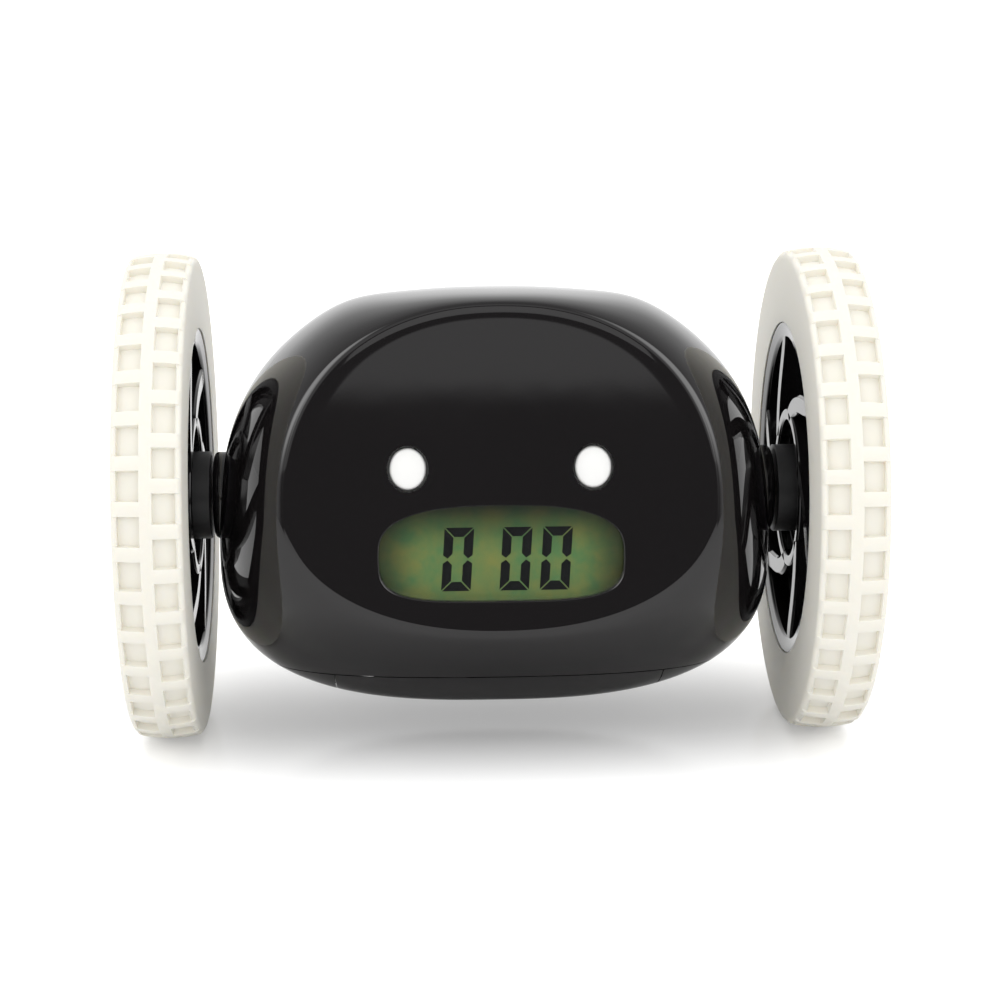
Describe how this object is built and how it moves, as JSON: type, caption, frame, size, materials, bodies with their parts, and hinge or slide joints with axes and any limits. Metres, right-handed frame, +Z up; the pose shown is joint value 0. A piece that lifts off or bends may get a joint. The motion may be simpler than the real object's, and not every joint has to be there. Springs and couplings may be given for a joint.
{
  "type": "runaway alarm clock",
  "caption": "Ovoid digital alarm clock slung between two large tyred wheels, each driven by its own geared motor so that it can roll away.",
  "frame": {"origin": "on the floor under the middle of the axle line and of the wheels' box", "axes": "+X along the axle towards the right wheel, front of the clock towards -Y, +Z up"},
  "size_m": [0.1316, 0.089, 0.089],
  "materials": {
    "black_shell": "polished",
    "white_rubber": "matte",
    "black_rim": "polished",
    "white_button": "satin",
    "clear_lens": "polished",
    "lcd_glass": "satin",
    "light_guide": "satin",
    "white_plastic": "moulded",
    "black_plastic": "moulded",
    "circuit_board": "lacquered",
    "steel": "brushed",
    "motor_steel": "plated",
    "cell_jacket": "printed film",
    "nickel_contact": "plated",
    "brass": "turned",
    "acetal": "moulded",
    "speaker_frame": "painted"
  },
  "bodies": {
    "clock_body": {"front_shell": "black_shell", "rear_shell": "black_shell", "battery_box": "black_plastic", "aaa_cells": "cell_jacket", "contact_springs": "nickel_contact", "contact_plates": "nickel_contact", "main_board": "circuit_board", "board_screws": "steel", "eye_switches": "black_plastic", "lcd_lens": "clear_lens", "lcd_glass": "lcd_glass", "lcd_backlight": "light_guide", "lcd_frame": "white_plastic", "key_board": "circuit_board", "key_switches": "black_plastic", "key_board_screws": "steel", "speaker": "speaker_frame", "shell_screws": "steel", "left_motor": "motor_steel", "left_gear_case": "black_plastic", "left_gear_cover": "black_plastic", "left_idler_arbor": "steel", "left_axle_bush": "brass", "right_motor": "motor_steel", "right_gear_case": "black_plastic", "right_gear_cover": "black_plastic", "right_idler_arbor": "steel", "right_axle_bush": "brass"},
    "battery_door": {"battery_door": "black_shell"},
    "hour_button": {"hour_button": "white_button"},
    "minute_button": {"minute_button": "white_button"},
    "clock_button": {"clock_button": "white_button"},
    "alarm_button": {"alarm_button": "white_button"},
    "wheels_button": {"wheels_button": "white_button"},
    "snooze_button": {"snooze_button": "white_button"},
    "left_wheel": {"left_axle": "steel", "left_rim": "black_rim", "left_tyre": "white_rubber", "left_hub_cap": "black_rim", "left_output_gear": "acetal"},
    "left_idler": {"left_idler_gear": "acetal"},
    "left_pinion": {"left_motor_pinion": "brass"},
    "right_wheel": {"right_axle": "steel", "right_rim": "black_rim", "right_tyre": "white_rubber", "right_hub_cap": "black_rim", "right_output_gear": "acetal"},
    "right_idler": {"right_idler_gear": "acetal"},
    "right_pinion": {"right_motor_pinion": "brass"}
  },
  "joints": [
    {"name": "left_wheel_spin", "type": "hinge", "parent": "clock_body", "child": "left_wheel", "pos_m": [0, 0, 0.0445], "axis": [1, 0, 0], "continuous": true},
    {"name": "left_idler_spin", "type": "hinge", "parent": "clock_body", "child": "left_idler", "pos_m": [0, 0.01325, 0.04708], "axis": [1, 0, 0], "continuous": true},
    {"name": "left_pinion_spin", "type": "hinge", "parent": "clock_body", "child": "left_pinion", "pos_m": [0, 0.00886, 0.03431], "axis": [1, 0, 0], "continuous": true},
    {"name": "right_wheel_spin", "type": "hinge", "parent": "clock_body", "child": "right_wheel", "pos_m": [0, 0, 0.0445], "axis": [1, 0, 0], "continuous": true},
    {"name": "right_idler_spin", "type": "hinge", "parent": "clock_body", "child": "right_idler", "pos_m": [0, 0.01325, 0.04708], "axis": [1, 0, 0], "continuous": true},
    {"name": "right_pinion_spin", "type": "hinge", "parent": "clock_body", "child": "right_pinion", "pos_m": [0, 0.00886, 0.03431], "axis": [1, 0, 0], "continuous": true},
    {"name": "hour_button_press", "type": "slide", "parent": "clock_body", "child": "hour_button", "axis": [0, 0.9877, -0.1564], "range_m": [0, 0.0006], "stiffness_N_per_m": 600, "springref_m": -0.0004},
    {"name": "minute_button_press", "type": "slide", "parent": "clock_body", "child": "minute_button", "axis": [0, 0.9877, -0.1564], "range_m": [0, 0.0006], "stiffness_N_per_m": 600, "springref_m": -0.0004},
    {"name": "clock_button_press", "type": "slide", "parent": "clock_body", "child": "clock_button", "axis": [0, -0.9877, 0.1564], "range_m": [0, 0.0006], "stiffness_N_per_m": 600, "springref_m": -0.0004},
    {"name": "alarm_button_press", "type": "slide", "parent": "clock_body", "child": "alarm_button", "axis": [0, -0.9877, 0.1564], "range_m": [0, 0.0006], "stiffness_N_per_m": 600, "springref_m": -0.0004},
    {"name": "wheels_button_press", "type": "slide", "parent": "clock_body", "child": "wheels_button", "axis": [0, -0.9877, 0.1564], "range_m": [0, 0.0006], "stiffness_N_per_m": 600, "springref_m": -0.0004},
    {"name": "snooze_button_press", "type": "slide", "parent": "clock_body", "child": "snooze_button", "axis": [0, -0.9877, 0.1564], "range_m": [0, 0.0006], "stiffness_N_per_m": 600, "springref_m": -0.0004},
    {"name": "battery_door_hinge", "type": "hinge", "parent": "clock_body", "child": "battery_door", "pos_m": [0, -0.03528, 0.01971], "axis": [-1, 0, 0], "range_deg": [0, 60]}
  ],
  "couplings": [
    {"joint": "left_idler_spin", "follows": "left_wheel_spin", "ratio": -4},
    {"joint": "left_pinion_spin", "follows": "left_wheel_spin", "ratio": 16},
    {"joint": "right_idler_spin", "follows": "right_wheel_spin", "ratio": -4},
    {"joint": "right_pinion_spin", "follows": "right_wheel_spin", "ratio": 16}
  ]
}
